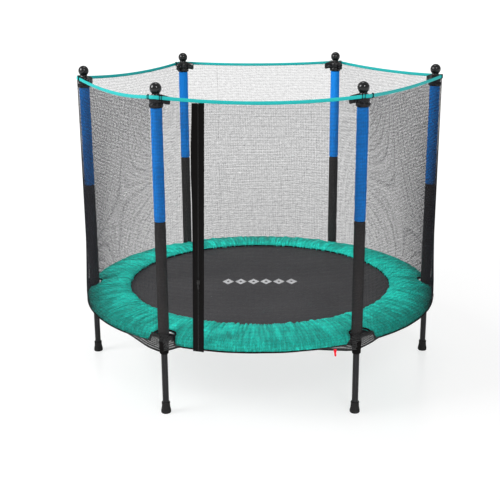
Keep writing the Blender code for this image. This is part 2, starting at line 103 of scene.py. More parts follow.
WALL_BOTTOM_R = 0.7015
WALL_KNEE_Z = 0.303  # upright skirt round the pad below this, leaning in above it
WALL_TOP_BOW = 0.006  # how far the taut top edge pulls in at mid span
BAND_WIDTH = 0.012
BAND_LOW = highest("top_band").z - BAND_WIDTH
WALL_TOP_Z = BAND_LOW - GAP
BEND = 0.025  # the wall's length round a post
PITCH = 2 * HALF_SPAN + BEND  # the wall's length from one post to the next
PERIMETER = 6 * PITCH
NET_PLEAT = 4.0 * HALF_SPAN / round(4.0 * HALF_SPAN / 0.0021)
ZIP_X, ZIP_LEAN, ZIP_WIDTH = -0.206, 0.019, 0.037


def polar(radius, turn, height=0.0):
    return Vector((radius * cos(turn), radius * sin(turn), height))


def axes_at(origin, x, y, z):
    """A place whose own axes point along x, y and z."""
    return Matrix.Translation(origin) @ Matrix((x, y, z)).transposed().to_4x4()


def link(name, data):
    made = bpy.data.objects.new(name, data)
    bpy.context.scene.collection.objects.link(made)
    return made


def rough(x, y=0.0, z=0.0):
    return noise.noise(Vector((x, y, z)))


def rough_round(turn, scale, z=0.0):
    """Roughness round a circle, which meets itself after a whole turn."""
    return rough(cos(turn) * scale, sin(turn) * scale, z)


def clamp(share):
    return min(1.0, max(0.0, share))


def bell(x, middle_at, width):
    return exp(-(((x - middle_at) / width) ** 2))


def post_angle(index):
    return radians(60.0 * index)


def wall_axes(span):
    """The directions outwards from the wall's panel after a post, and along it."""
    facing = post_angle(span) + radians(30.0)
    return polar(1.0, facing), polar(1.0, facing + radians(90.0))


def band_sag(span):
    """How much lower the CAD band's underside is at the middle of a span than at its posts."""
    outwards, along = wall_axes(span)
    band = [v.co for v in frame["nodes"]["top_band"].data.vertices]
    return BAND_LOW - min(p.z for p in band if abs(p.dot(along)) < 0.02 and p.dot(outwards) > 0.0)


SAGS = [band_sag(span) for span in range(6)]


# ---- camera
def make_camera():
    pitch, yaw, roll = 0.2843, -0.0101, -0.006
    forward = Vector((sin(yaw) * cos(pitch), cos(yaw) * cos(pitch), -sin(pitch)))
    level = Vector((cos(yaw), -sin(yaw), 0.0))
    upright = level.cross(forward)
    right = level * cos(roll) + upright * sin(roll)
    upwards = upright * cos(roll) - level * sin(roll)
    data = bpy.data.cameras.new("camera")
    data.sensor_width = 36.0
    data.lens = 68.44
    data.clip_end = 300.0
    camera = link("camera", data)
    camera.matrix_world = axes_at(Vector((-0.0022, -3.7139, 1.522)), right, upwards, -forward)
    bpy.context.scene.camera = camera


# ---- materials
class Value:
    """A number or colour from a look's nodes. Arithmetic with it adds Math nodes."""

    def __init__(self, look, socket):
        self.look = look
        self.socket = socket

    def __rsub__(self, other):
        return self.look.maths("SUBTRACT", other, self)

    def __abs__(self):
        return self.look.maths("ABSOLUTE", self)

    def spread(self, low=0.3, high=0.7, new_low=0.0, new_high=1.0):
        """Mapped from one range to another and kept inside it."""
        return self.look.node("ShaderNodeMapRange", {0: self, 1: low, 2: high, 3: new_low, 4: new_high})

    def wave(self, pitch):
        """0 to 1 and back once in each pitch."""
        return (self.look.maths("SINE", self * (2.0 * pi / pitch)) + 1.0) * 0.5


for sign, operation in (
    ("add", "ADD"), ("sub", "SUBTRACT"), ("mul", "MULTIPLY"), ("truediv", "DIVIDE"), ("pow", "POWER"),
):
    setattr(Value, f"__{sign}__", lambda self, other, kind=operation: self.look.maths(kind, self, other))


class Look:
    """A Principled material and short ways to add nodes to it."""

    def __init__(self, name, colour, roughness, specular=0.5, metallic=0.0):
        self.material = bpy.data.materials.new(name)
        self.material.use_nodes = True
        self.tree = self.material.node_tree
        self.shader = self.tree.nodes["Principled BSDF"].inputs
        self.drive("Base Color", (*colour, 1.0))
        self.drive("Roughness", roughness)
        self.drive("Specular IOR Level", specular)
        self.drive("Metallic", metallic)

    def feed(self, socket, value):
        if isinstance(value, Value):
            self.tree.links.new(value.socket, socket)
        else:
            socket.default_value = value

    def drive(self, name, value):
        self.feed(self.shader[name], value)

    def node(self, kind, inputs=None, output=0, **settings):
        made = self.tree.nodes.new(kind)
        for name, value in settings.items():
            setattr(made, name, value)
        for name, value in (inputs or {}).items():
            self.feed(made.inputs[name], value)
        return Value(self, made.outputs[output])

    def maths(self, operation, first, second=0.0, clamp=False):
        return self.node("ShaderNodeMath", {0: first, 1: second}, operation=operation, use_clamp=clamp)

    def object_point(self):
        return self.node("ShaderNodeTexCoord", output="Object")

    def metres(self):
        """The mesh's own map in metres, as u and v."""
        parts = self.node("ShaderNodeSeparateXYZ", {0: self.node("ShaderNodeUVMap", uv_map="metres")})
        return [Value(self, socket) for socket in parts.socket.node.outputs[:2]]

    def noise(self, scale, detail=3.0, vector=None):
        inputs = {"Vector": vector or self.object_point(), "Scale": scale, "Detail": detail}
        return self.node("ShaderNodeTexNoise", inputs)

    def grain(self, u, v, detail=2.0):
        """Noise over a flat map, scaled by the caller in its two directions."""
        return self.noise(1.0, detail, self.node("ShaderNodeCombineXYZ", {0: u, 1: v}))

    def mix(self, share, first, second):
        first, second = (c if isinstance(c, Value) else (*c, 1.0) for c in (first, second))
        return self.node("ShaderNodeMix", {0: share, 6: first, 7: second}, 2, data_type="RGBA")

    def vary(self, share, colour, amount):
        """From a little darker than the colour to a little lighter."""
        return self.mix(share, *(tuple(c * by for c in colour) for by in (1.0 - amount, 1.0 + amount)))

    def bump(self, height, distance, strength=1.0):
        inputs = {"Height": height, "Distance": distance, "Strength": strength}
        self.drive("Normal", self.node("ShaderNodeBump", inputs))

    def weave(self, pitch):
        """The height of a plain weave over the metre map, from 0 to 1."""
        across, along = (way.wave(pitch) for way in self.metres())
        return self.maths("MAXIMUM", across * (1.0 - along), along * (1.0 - across))


def smooth_look(name, colour, roughness, specular, grain, depth):
    """Moulded or painted: noise varies colour and roughness a little and gives a fine bump."""
    made = Look(name, colour, roughness, specular)
    patches = made.noise(grain, 4.0)
    made.drive("Base Color", made.vary(patches.spread(), colour, 0.25))
    made.drive("Roughness", patches.spread(0.3, 0.7, roughness * 0.85, roughness * 1.15))
    made.bump(made.noise(grain * 12.0, 2.0), depth, 0.6)
    return made


def woven_look(name, colour, roughness, specular, pitch, depth):
    made = Look(name, colour, roughness, specular)
    thread = made.weave(pitch)
    share = thread * 0.5 + made.noise(9.0, 5.0).spread() * 0.5
    made.drive("Base Color", made.vary(share, colour, 0.18))
    made.drive("Roughness", thread.spread(0.0, 1.0, roughness * 1.1, roughness * 0.9))
    made.bump(thread, depth, 0.5)
    return made


def mat_look():
    """Woven polypropylene with a row of plain lozenges printed across the middle."""
    colour = (0.079, 0.077, 0.078)
    made = Look("mat_weave", colour, 0.8, 0.1)
    u, v = made.metres()
    thread = made.maths("MAXIMUM", u.wave(0.0036), v.wave(0.0036))
    cloth = made.vary(thread * 0.45 + made.noise(4.0, 6.0).spread() * 0.55, colour, 0.22)
    pitch, row_y, height, row_end = 0.052, 0.006, 0.036, 0.156
    cell = made.maths("FRACT", u / pitch) - 0.5
    reach = abs(cell) * 2.2 + abs(v - row_y) / height
    lozenge = reach.spread(0.97, 1.03, 1.0, 0.0) * reach.spread(0.24, 0.3)
    within = abs(u).spread(row_end - 0.001, row_end + 0.001, 1.0, 0.0)
    made.drive("Base Color", made.mix(lozenge * within, cloth, (0.78, 0.78, 0.79)))
    made.bump(thread, 0.0003, 0.6)
    return made


def pad_look():
    """A coated weave with a soft sheen, flecked along its folds, with painted light and shade: the colour is
    lighter on the raised folds and darker in the hollows between them.
    """
    made = Look("pad_cover", (0.003, 0.48, 0.38), 0.5, 0.18)
    u, v = made.metres()
    streaks = made.grain(u * 150.0, v * 16.0, 3.0)
    flecks = made.grain(u * 330.0, v * 120.0)
    patches = made.noise(12.0, 5.0)
    fold = made.node("ShaderNodeAttribute", output="Fac", attribute_name="fold")
    # painted light and shade: the stored fold height, and the streaks that also make the bump, lighten the
    # colour on raised folds and darken it in the hollows; the flecks and patches are the cloth's own tone
    share = streaks * 0.5 + flecks * 0.3 + patches * 0.2 + fold * 0.42
    made.drive("Base Color", made.mix(share.spread(0.47, 0.83), (0.001, 0.37, 0.292), (0.022, 0.99, 0.8)))
    made.drive("Roughness", patches.spread(0.3, 0.7, 0.44, 0.58))
    made.bump(streaks * 1.6 + flecks * 0.6 + made.weave(0.0022) * 0.12, 0.003)
    return made


def net_look():
    """Fine knitted mesh: soft threads both ways of the map, a little uneven from course to course."""
    made = Look("net_mesh", (0.012, 0.012, 0.014), 0.9, 0.05)
    u, v = made.metres()
    threads = u.wave(NET_PLEAT * 1.5) ** 10.0 + v.wave(0.0036) ** 10.0
    sway = made.grain(u * 5.0, v * 12.5)
    course = (v + sway * 0.03).wave(0.0118)
    wale = (u + sway * 0.016).wave(NET_PLEAT * 4.5)
    slanted = made.grain((u + v * 0.55) * 62.0, (v - u * 0.55) * 118.0)
    uneven = (course * 0.38 + wale * 0.14 + slanted.spread(0.3, 0.7, 0.4, 1.04)) * 1.66
    made.drive("Alpha", made.maths("MULTIPLY", threads * 0.46 + 0.03, uneven, clamp=True))
    made.drive("Base Color", made.mix(slanted.spread(), (0.012, 0.012, 0.015), (0.022, 0.022, 0.027)))
    return made


def gathered_look():
    """The same mesh bunched in folds, dense on each fold and thinner between two."""
    made = Look("gathered_mesh", (0.008, 0.008, 0.009), 0.42, 0.3)
    u, v = made.metres()
    folds = v.wave(0.01)
    threads = made.grain(u * 130.0, v * 40.0).spread(0.35, 0.65, 0.9, 1.0)
    made.drive("Alpha", made.maths("MULTIPLY", folds.spread(0.12, 0.36, 0.55, 1.0), threads, clamp=True))
    made.drive("Base Color", made.mix(folds, (0.009, 0.009, 0.01), (0.003, 0.003, 0.003)))
    made.bump(folds**2.0, 0.002, 0.7)
    return made


def band_look():
    """Ribbed binding tape."""
    colour = (0.006, 0.405, 0.395)
    made = Look("band_tape", colour, 0.6, 0.3)
    ribs = made.metres()[1].wave(0.0016)
    made.drive("Base Color", made.vary(ribs * 0.4 + made.noise(40.0) * 0.6, colour, 0.12))
    made.bump(ribs, 0.0003, 0.6)
    return made


def steel_look(name, grey, roughness):
    made = Look(name, (grey, grey, grey), roughness, metallic=1.0)
    share = made.noise(90.0, 4.0).spread()
    made.drive("Base Color", made.mix(share, (grey * 0.8,) * 3, (grey * 1.2, grey * 1.2, grey * 1.18)))
    made.drive("Roughness", share.spread(0.0, 1.0, roughness * 0.75, roughness * 1.3))
    made.bump(made.noise(700.0, 2.0), 0.0001, 0.4)
    return made


RUBBER = smooth_look("foot_rubber", (0.01, 0.01, 0.01), 0.7, 0.15, 60.0, 0.0002)
PAINT = smooth_look("black_paint", (0.007, 0.007, 0.008), 0.34, 0.22, 25.0, 0.0001)
PLASTIC = smooth_look("cap_plastic", (0.005, 0.005, 0.0055), 0.14, 0.42, 30.0, 0.000004)
TEETH = smooth_look("zip_teeth", (0.006, 0.0058, 0.0058), 0.36, 0.16, 60.0, 0.00001)
GREY_CLOTH = woven_look("sleeve_grey", (0.038, 0.035, 0.033), 0.8, 0.08, 0.0016, 0.0002)
BLUE_CLOTH = woven_look("sleeve_blue", (0.01, 0.225, 0.74), 0.75, 0.1, 0.0016, 0.0002)
BLACK_TAPE = woven_look("black_webbing", (0.005, 0.0046, 0.0046), 0.75, 0.03, 0.002, 0.0003)
RED_CLOTH = woven_look("label_cloth", (0.6, 0.008, 0.02), 0.7, 0.15, 0.001, 0.0001)
STEEL = steel_look("zinc_steel", 0.56, 0.3)
ZIP_METAL = steel_look("zip_metal", 0.035, 0.38)
GATHER = gathered_look()
MAT_CLOTH = mat_look()
PAD_CLOTH = pad_look()
BAND_CLOTH = band_look()
NET_MESH = net_look()


# ---- mesh building
def turns(count):
    return [2.0 * pi * k / count for k in range(count)]


def lengths_along(points, loop=False):
    """The distance of each point from the first along the line, and of the first again in a loop."""
    out = [0.0]
    for here, there in zip(points, points[1:] + (points[:1] if loop else [])):
        out.append(out[-1] + dist(here, there))
    return out


def make_mesh(name, points, faces, look, uv=None, smooth=40.0, closed=True):
    """uv gives a (u, v) in metres for each point, or for each face's corners as a list of lists."""
    made = bpy.data.meshes.new(name)
    made.from_pydata([tuple(p) for p in points], [], [tuple(f) for f in faces])
    if uv is not None:
        by_corner = isinstance(uv[0][0], (list, tuple))
        corners = [c for face in uv for c in face] if by_corner else [uv[i] for face in faces for i in face]
        layer = made.uv_layers.new(name="metres")
        layer.data.foreach_set("uv", np.array(corners, np.float32).ravel())
    if closed:
        rebuild(made)
    made.shade_smooth()
    if smooth is not None:
        made.set_sharp_from_angle(angle=radians(smooth))
    made.materials.append(look.material)
    return made


def rebuild(mesh, merge=0.0):
    """Normals turned outwards, and points nearer than merge made one."""
    builder = bmesh.new()
    builder.from_mesh(mesh)
    if merge:
        bmesh.ops.remove_doubles(builder, verts=builder.verts, dist=merge)
    bmesh.ops.recalc_face_normals(builder, faces=builder.faces)
    builder.to_mesh(mesh)
    builder.free()


def finished(name, builder, look, smooth=None):
    """The builder's mesh, smoothed only if an angle is given."""
    made = bpy.data.meshes.new(name)
    builder.to_mesh(made)
    builder.free()
    if smooth is not None:
        made.shade_smooth()
        made.set_sharp_from_angle(angle=radians(smooth))
    made.materials.append(look.material)
    return made


def merged(name, meshes, look, place=Matrix(), smooth=None):
    builder = bmesh.new()
    for mesh in meshes:
        builder.from_mesh(mesh)
    builder.transform(place)
    return finished(name, builder, look, smooth)


def turned(mesh, place):
    own = mesh.copy()
    own.transform(place)
    return own


def bevelled(name, boxes, look, width):
    """Boxes given by their corners, merged in one mesh with rounded edges."""
    builder = bmesh.new()
    for low, high in boxes:
        for v in bmesh.ops.create_cube(builder, size=1.0)["verts"]:
            v.co = Vector([low[i] + (high[i] - low[i]) * (v.co[i] + 0.5) for i in range(3)])
    bmesh.ops.bevel(builder, geom=list(builder.edges), offset=width, segments=2, affect="EDGES")
    return finished(name, builder, look, 40.0)


def add_piece(mesh, node=None, body=FRAME, place=None, name=None):
    """A piece that rides on a body, and stands for a CAD node if one is given."""
    made = link(name or mesh.name, mesh)
    if place is not None:
        made.matrix_world = place
    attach(made, body)
    if node:
        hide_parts(node)
    return made


def grid_faces(rows, columns, loop_rows=False, loop_columns=False):
    """Quads of a grid whose point (r, c) is number r * columns + c."""
    faces = []
    for r in range(rows if loop_rows else rows - 1):
        below = r * columns
        above = (r + 1) % rows * columns
        for c in range(columns if loop_columns else columns - 1):
            n = (c + 1) % columns
            faces.append((below + c, below + n, above + n, above + c))
    return faces


def capped_grid(rows, columns):
    """A grid looped along its rows, with a face over each end."""
    last = (rows - 1) * columns
    ends = [tuple(range(columns)), tuple(range(last, last + columns))]
    return grid_faces(rows, columns, loop_columns=True) + ends


def corner_uvs(faces, us, vs):
    """Corner coordinates for a looped grid, so the last column or row doesn't run backwards."""
    columns, rows = len(us) - 1, len(vs) - 1
    out = []
    for face in faces:
        cells = [divmod(p, columns) for p in face]
        wide = max(c for _, c in cells) - min(c for _, c in cells) > 1
        tall = max(r for r, _ in cells) - min(r for r, _ in cells) > 1
        cells = [(rows if tall and r == 0 else r, columns if wide and c == 0 else c) for r, c in cells]
        out.append([(us[c], vs[r]) for r, c in cells])
    return out


def lathe(name, profile, look, sides=48, closed=False, smooth=35.0, radial=None):
    """A mesh turned about Z from (radius, height) points. radial(turn, height) adds to a radius."""
    points = []
    for radius, height in profile:
        for turn in turns(sides):
            reach = radius + (radial(turn, height) if radial and radius > 1e-6 else 0.0)
            points.append(polar(reach, turn, height))
    faces = grid_faces(len(profile), sides, loop_rows=closed, loop_columns=True)
    widest = max(r for r, _ in profile)
    lengths = lengths_along(profile)
    round_it = [2.0 * pi * widest * k / sides for k in range(sides + 1)]
    uv = corner_uvs(faces, round_it, lengths + [2 * lengths[-1]])
    made = make_mesh(name, points, faces, look, uv, None)
    rebuild(made, merge=1e-6)
    made.set_sharp_from_angle(angle=radians(smooth))
    return made


def frames_along(path, loop, up):
    """For each point of a path: the point, a sideways and an upwards direction."""
    out = []
    count = len(path)
    for i, point in enumerate(path):
        before = path[i - 1] if i or loop else point
        after = path[(i + 1) % count] if i < count - 1 or loop else point
        along = (after - before).normalized()
        side = along.cross(up)
        side = side.normalized() if side.length > 1e-4 else along.orthogonal().normalized()
        out.append((point, side, side.cross(along).normalized()))
    return out


def sweep(name, path, section, look, loop=False, up=Vector((0, 0, 1)), smooth=50.0):
    """A closed section of (sideways, upwards) points carried along a path."""
    count, sides = len(path), len(section)
    frames = frames_along(path, loop, up)
    points = [point + side * s + rise * r for point, side, rise in frames for s, r in section]
    faces = grid_faces(count, sides, loop_rows=loop, loop_columns=True)
    uv = corner_uvs(faces, lengths_along(section, True), lengths_along(path, True))
    uv = [[(v, u) for u, v in face] for face in uv]
    if not loop:
        faces = capped_grid(count, sides)
        uv += [list(section)] * 2
    return make_mesh(name, points, faces, look, uv, smooth)


def add_sweep(name, path, section, look, node=None, body=FRAME, slot=None, **options):
    return add_piece(sweep(name, path, section, look, **options), node, body)


def round_section(radius, sides):
    return [(radius * cos(turn), radius * sin(turn)) for turn in turns(sides)]


def tape_section(width, thickness, sideways=False):
    """A flat tape's section with rounded edges, width upwards unless sideways."""
    half, deep = width / 2, thickness / 2
    corner = min(deep, half) * 0.9
    points = []
    for quarter, (s, r) in enumerate(((1, 1), (-1, 1), (-1, -1), (1, -1))):
        for step in range(3):
            turn = radians(90 * quarter + 45 * step)
            across, upwards = corner * cos(turn), corner * sin(turn)
            points.append((s * (deep - corner) + across, r * (half - corner) + upwards))
    return [(r, -s) for s, r in points] if sideways else points


def smooth_path(points, steps):
    """A Catmull-Rom curve through the points."""
    out = []
    padded = [points[0]] + list(points) + [points[-1]]
    for i in range(len(points) - 1):
        a, b, c, d = padded[i : i + 4]
        for k in range(steps):
            t = k / steps
            curve = (a * 2.0 - b * 5.0 + c * 4.0 - d) * t * t + (b * 3.0 - a - c * 3.0 + d) * t * t * t
            out.append(0.5 * (b * 2.0 + (c - a) * t + curve))
    out.append(points[-1])
    return out


def at_post(index):
    turn = post_angle(index)
    return Matrix.Translation(polar(POST_RING, turn)) @ Matrix.Rotation(turn, 4, "Z")


def six(stem, mesh, nodes=None):
    """A piece for each post, made on the local origin with +X outwards."""
    for index, place in enumerate(POSTS):
        made = add_piece(mesh, nodes and f"{nodes}_{place}", place=at_post(index), name=f"{stem}_{place}")


# ---- posts
def make_feet():
    bore = TUBE_R + GAP
    profile = [
        (0.0, 0.0), (0.015, 0.0), (0.0166, 0.0006), (0.0178, 0.0022), (0.0182, 0.0045), (0.0181, 0.009),
        (0.0176, 0.0125), (0.0166, 0.0165), (0.0156, 0.0215), (0.015, 0.028), (0.0147, 0.034),
        (0.0148, 0.0352), (0.0151, 0.0362), (0.0151, FOOT_TOP - 0.0012), (0.0146, FOOT_TOP),
        (bore, FOOT_TOP), (bore, 0.0063), (0.0, 0.0063),
    ]
    six("rubber_foot", lathe("rubber_foot", profile, RUBBER), "foot")


def make_tubes():
    inner = TUBE_R - 0.0012
    leg = [(TUBE_R, LEG_LOW), (TUBE_R, LEG_TOP), (inner, LEG_TOP), (inner, LEG_LOW)]
    six("leg_tube", lathe("leg_tube", leg, PAINT, 40, closed=True), "leg")
    low, high = lowest("pole_right").z, highest("pole_right").z
    spigot = inner - GAP
    pole = [
        (spigot, low), (spigot, LEG_TOP + GAP), (TUBE_R, LEG_TOP + GAP), (TUBE_R, high), (inner, high),
        (inner, LEG_TOP + 0.003), (spigot - 0.0012, LEG_TOP + 0.001), (spigot - 0.0012, low),
    ]
    six("pole_tube", lathe("pole_tube", pole, PAINT, 40, closed=True), "pole")


def make_sleeves():
    """Foam tubes in a sewn cover: slightly uneven, with tucked ends and a seam towards the middle."""

    def uneven(turn, height):
        dent = 0.0007 * rough_round(turn, 1.6, height * 22.0)
        ripple = 0.0003 * rough_round(turn, 5.0, height * 120.0)
        return dent + ripple - 0.0008 * bell(turn, pi, 0.07)

    radius, edge, steps = SLEEVE_R - 0.0004, 0.0022, 46
    end = [(TUBE_R + GAP, 0.0), (radius - 3 * edge, 0.0)]
    end += [(radius - edge, 0.3 * edge), (radius - 0.2 * edge, edge)]
    for stem, low, high, look in (
        ("lower", SLEEVE_LOW, SLEEVE_SPLIT, GREY_CLOTH),
        ("upper", SLEEVE_SPLIT + GAP, SLEEVE_TOP, BLUE_CLOTH),
    ):
        profile = [(r, low + inside) for r, inside in end]
        profile += [(radius, low + 2 * edge + (high - low - 4 * edge) * k / steps) for k in range(steps + 1)]
        profile += [(r, high - inside) for r, inside in reversed(end)]
        mesh = lathe(f"{stem}_sleeve", profile, look, closed=True, radial=uneven)
        six(f"{stem}_sleeve", mesh, f"sleeve_{stem}")


def make_caps():
    """A ball on a stepped body, a plug below it, and an arm along each of the net's two sides."""
    ball_r = 0.02
    profile = [(0.0, CAP_TOP)]
    for k in range(1, 22):
        rise = radians(90.0 - 138.0 * k / 21)
        profile.append((ball_r * cos(rise), CAP_TOP - ball_r + ball_r * sin(rise)))
    base = CAP_TOP - 0.082
    profile += [
        (0.0131, 1.1428), (0.0134, 1.141), (0.0148, 1.1385), (0.0176, 1.1352), (0.0202, 1.1326),
        (0.0214, 1.13), (0.0218, 1.1265), (0.0219, 1.119), (0.0212, 1.116), (0.0196, 1.114),
        (0.0192, 1.1125), (0.02, 1.1113), (0.0226, 1.1106), (0.024, 1.1092), (0.0245, 1.107),
        (0.0245, 1.102), (0.0241, 1.0996), (0.0228, base), (0.01, base), (0.01, base - 0.03),
        (0.0, base - 0.03),
    ]
    arm_outline = [
        (0.004, 1.1407), (0.012, 1.1407), (0.0165, 1.1402), (0.03, 1.1364), (0.0405, 1.1334),
        (0.044, 1.132), (0.0462, 1.13), (0.047, 1.127), (0.0468, 1.112), (0.046, 1.1088),
        (0.0442, 1.107), (0.0415, 1.1065), (0.03, 1.1086), (0.02, 1.1106), (0.004, 1.1132),
    ]
    arm_middle = Vector((0.024, 1.122))
    half_width = 0.005
    side = [(half_width, 0.0014), (half_width - 0.0006, 0.0004), (half_width - 0.0016, 0.0)]
    layers = [(-x, inset) for x, inset in side] + side[::-1]
    points = []
    for x, inset in layers:
        for y, z in arm_outline:
            inwards = (arm_middle - Vector((y, z))).normalized() * inset
            points.append((x, y + inwards.x, z + inwards.y))
    arm = make_mesh("cap_arm", points, capped_grid(len(layers), len(arm_outline)), PLASTIC, None, 55.0)
    arms = [turned(arm, Matrix.Rotation(radians(turn), 4, "Z")) for turn in (30.0, 150.0)]
    body = lathe("post_cap", profile, PLASTIC, 64, smooth=50.0)
    six("post_cap", merged("post_cap_whole", [body, *arms], PLASTIC, smooth=50.0), "cap")


# ---- frame ring, bolts, mat and springs
def make_ring():
    steps = 40
    for index, place in enumerate(ARCS):
        start = post_angle(index) + radians(-2.0)
        path = [polar(RING_R, start + radians(59.9) * k / steps, RING_Z) for k in range(steps + 1)]
        add_sweep(f"ring_arc_{place}", path, round_section(RING_TUBE_R, 28), PAINT, f"frame_arc_{place}")


def make_bolts():
    """A dome-headed bolt through each leg, with a washer and a hexagon nut on the inside."""
    head = TUBE_R + GAP
    nut = RING_R * cos(radians(2.0)) - RING_TUBE_R - POST_RING - GAP
    dome = [
        (0.0, head + 0.0042), (0.0022, head + 0.004), (0.0042, head + 0.0031), (0.0058, head + 0.0018),
        (0.0065, head + 0.0006), (0.0065, head), (0.003, head), (0.003, nut), (0.0066, nut),
        (0.0066, nut - 0.0008), (0.003, nut - 0.0008), (0.003, nut - 0.0074), (0.0, nut - 0.0074),
    ]
    block = [(0.0031, nut - 0.001), (0.0062, nut - 0.001), (0.0062, nut - 0.0058), (0.0031, nut - 0.0058)]
    parts = [lathe("frame_bolt", dome, STEEL, 32), lathe("nut", block, STEEL, 6, closed=True, smooth=20.0)]
    lying = Matrix.Translation((0.0, 0.0, RING_Z)) @ Matrix.Rotation(pi / 2, 4, "Y")
    six("frame_bolt", merged("frame_bolt_whole", parts, STEEL, lying), "leg_bolt")


def make_mat():
    """The woven mat, its turned and stitched edge, and the webbing ring under it."""
    sides = 180
    edge = [MAT_R - 0.0016, MAT_R - 0.0004]
    rings = [0.0008] + [MAT_R * k / 28 for k in range(1, 28)] + edge + [MAT_R] + edge[::-1]
    rings += [MAT_R * k / 14 for k in range(13, 0, -1)] + [0.0008]
    heights = [MAT_TOP] * 29 + [MAT_TOP - 0.0004, (MAT_TOP + MAT_LOW) / 2, MAT_LOW + 0.0004] + [MAT_LOW] * 15
    points = [polar(radius, turn, height) for radius, height in zip(rings, heights) for turn in turns(sides)]
    faces = capped_grid(len(rings), sides)
    cloth = make_mesh("mat_cloth", points, faces, MAT_CLOTH, [(p.x, p.y) for p in points], 50.0)
    mat = add_piece(cloth, "mat", MAT_BODY)
    width, thickness = 0.026, 0.0019
    path = [polar(MAT_R - width / 2, turn, highest("mat_webbing").z - 0.001) for turn in turns(sides)]
    section = tape_section(width, thickness, sideways=True)
    webbing = add_sweep("edge_webbing", path, section, BLACK_TAPE, "mat_webbing", MAT_BODY, loop=True)
    points, faces = [], []
    for radius in (0.515, 0.506):
        stitch_ring(radius, points, faces)
    thread = make_mesh("mat_stitches", points, faces, BLACK_TAPE, [(p.x, p.y) for p in points], None)
    stitches = add_piece(thread, body=MAT_BODY)


def stitch_ring(radius, points, faces):
    """Adds a ring of short thread humps on the mat's top."""
    length, half_stitch = 0.006, 0.0021
    section = round_section(0.0004, 5)
    for centre in turns(int(2.0 * pi * radius / length)):
        first = len(points)
        for step, lift in ((-1.0, -0.0003), (-0.4, 0.0002), (0.4, 0.0002), (1.0, -0.0003)):
            turn = centre + step * half_stitch / radius
            points += [polar(radius + s, turn, MAT_TOP + lift + r) for s, r in section]
        faces += [tuple(first + i for i in face) for face in grid_faces(4, 5, loop_columns=True)]


def make_springs():
    """Thirty coil springs with hooked ends, each bending between the frame and the mat."""

    def in_plane(*pairs):
        return [Vector((x, 0.0, z)) for x, z in pairs]

    count, coils, per_coil, coil_r = 30, 34, 9, 0.005
    start, end = in_plane((0.552, 0.2935), (0.6385, 0.29))
    z = start.z
    path = in_plane(
        (MAT_R + 0.002, z - 0.0052), (MAT_R + 0.0008, z - 0.0015), (MAT_R + 0.0022, z + 0.0024),
        (MAT_R + 0.0064, z + 0.003), (start.x - 0.0045, z + 0.0016),
    )
    for k in range(coils * per_coil + 1):
        share = k / (coils * per_coil)
        angle = 2.0 * pi * k / per_coil
        reach = coil_r * min(1.0, 0.35 + 4.0 * share, 0.35 + 4.0 * (1.0 - share))
        path.append(start.lerp(end, share) + Vector((0.0, sin(angle) * reach, cos(angle) * reach)))
    path += in_plane(
        (end.x + 0.0012, end.z + 0.001), (RING_R - RING_TUBE_R + 0.0006, end.z + 0.0052),
        (RING_R - 0.0098, RING_Z + RING_TUBE_R - 0.0012), (RING_R - 0.0058, RING_Z + RING_TUBE_R + 0.0006),
    )
    coil = sweep("coil_spring", path, round_section(0.0009, 6), STEEL, up=Vector((0, 1, 0)), smooth=70.0)
    path = in_plane(
        (MAT_R - 0.02, 0.29385), (MAT_R - 0.004, 0.2936), (MAT_R + 0.0018, 0.293), (MAT_R + 0.0034, 0.2908),
        (MAT_R + 0.0014, 0.289), (MAT_R - 0.006, 0.2886), (MAT_R - 0.02, 0.29),
    )
    tab = sweep("spring_tab", path, tape_section(0.024, 0.0012, sideways=True), BLACK_TAPE, smooth=60.0)
    for index in range(count):
        spun = Matrix.Rotation(radians(90.0) + 2.0 * pi * index / count, 4, "Z")
        spring = link(f"coil_spring_{index + 1:02d}", turned(coil, spun))
        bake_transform(spring)
        if index == 0:
            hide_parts("springs")
        add_piece(tab, body=MAT_BODY, place=spun, name=f"spring_tab_{index + 1:02d}")


# ---- wall: net, band, zip, hem
def wall_top(span, across):
    return WALL_TOP_Z - SAGS[span] * (1.0 - (across / HALF_SPAN) ** 2)


def wall_point(span, across, height, depth=WALL_MIDDLE):
    """A point of a panel: across from its middle, at a height, depth out from its inner face."""
    outwards, sideways = wall_axes(span)
    bow = 1.0 - (across / HALF_SPAN) ** 2
    top = POST_RING * cos(radians(30.0)) + WALL_OFFSET - WALL_TOP_BOW * bow
    bottom = sqrt(WALL_BOTTOM_R**2 - across**2)
    share = (height - WALL_KNEE_Z) / (WALL_TOP_Z - WALL_KNEE_Z)
    reach = bottom + (top - bottom) * max(0.0, share) + depth
    if span == FRONT_SPAN:
        across += ZIP_LEAN * (share - 0.5) * bow
    return outwards * reach + sideways * across + Vector((0.0, 0.0, height))


def station_point(station, height, depth=WALL_MIDDLE):
    """A point of the wall. A station is (span, across), or (span, None, share) round the next post."""
    depth -= 0.0026 * clamp((0.318 - height) / 0.025)
    span, across = station[:2]
    if across is not None:
        return wall_point(span, across, height, depth)
    first = wall_point(span, HALF_SPAN, height, depth)
    last = wall_point((span + 1) % 6, -HALF_SPAN, height, depth)
    corner = polar(POST_RING + WALL_OFFSET + depth, post_angle(span + 1), height)
    pulled = corner * 2.0 - (first + last) / 2.0
    share = station[2]
    return first * (1 - share) ** 2 + pulled * (2 * share * (1 - share)) + last * share**2


def stations(step):
    """Stations round the whole wall from the first post, with the distance along the wall of each."""
    count = round(2 * HALF_SPAN / step)
    bends = max(2, round(BEND / step))
    out = []
    for span in range(6):
        start = span * PITCH
        for k in range(count + 1):
            away = 2 * HALF_SPAN * k / count
            out.append(((span, away - HALF_SPAN), start + away))
        for k in range(1, bends):
            out.append(((span, None, k / bends), start + 2 * HALF_SPAN + BEND * k / bends))
    return out


def station_at(along):
    span, rest = divmod(along, PITCH)
    if rest <= 2 * HALF_SPAN:
        return int(span) % 6, rest - HALF_SPAN
    return int(span) % 6, None, (rest - 2 * HALF_SPAN) / BEND


def beside_post(post, away):
    """The distance along the wall of a place that is so far from a post's middle."""
    return (post * PITCH - BEND / 2 + away) % PERIMETER


